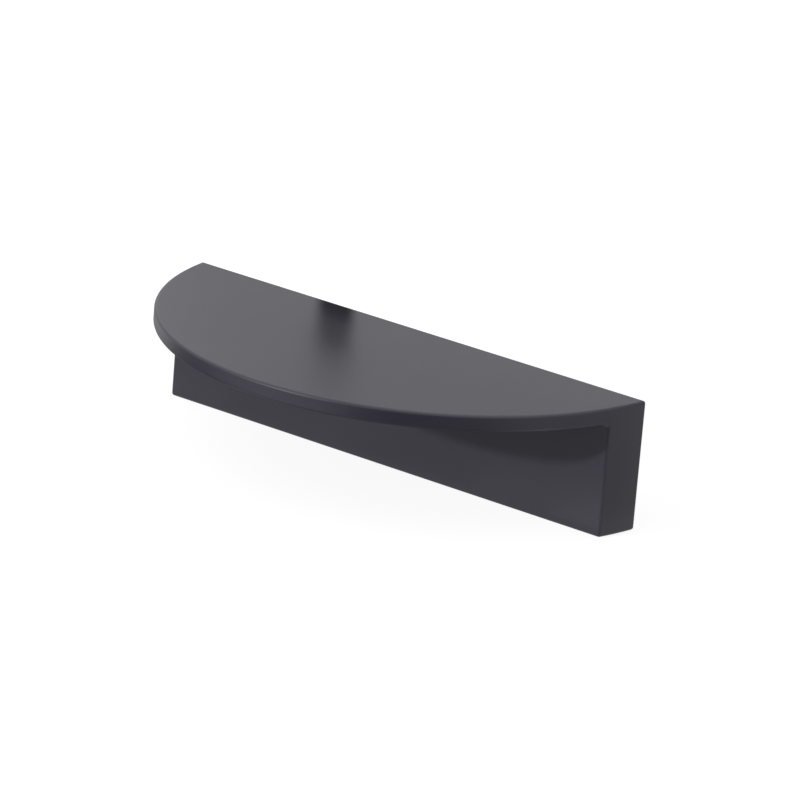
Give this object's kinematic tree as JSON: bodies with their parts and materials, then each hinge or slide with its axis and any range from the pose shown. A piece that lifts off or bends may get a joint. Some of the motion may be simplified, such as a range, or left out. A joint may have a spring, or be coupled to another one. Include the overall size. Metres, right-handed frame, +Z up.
{
  "type": "half-moon drawer pull",
  "caption": "One-piece D-shaped drawer pull: a half-moon finger plate on an upright wall with blind tapped holes in its back.",
  "frame": {"origin": "midway between the two screw holes, on the back face that lies against the drawer front", "axes": "+X along the handle's length, +Y out of the back face into the drawer front, +Z up towards the finger plate"},
  "size_m": [0.1098, 0.0495, 0.026],
  "materials": {
    "satin_graphite_lacquer": "satin",
    "tapped_zinc_alloy": "bare, freshly cut metal of the screw threads"
  },
  "bodies": {
    "root": {"pull_handle": "satin_graphite_lacquer"}
  },
  "joints": []
}
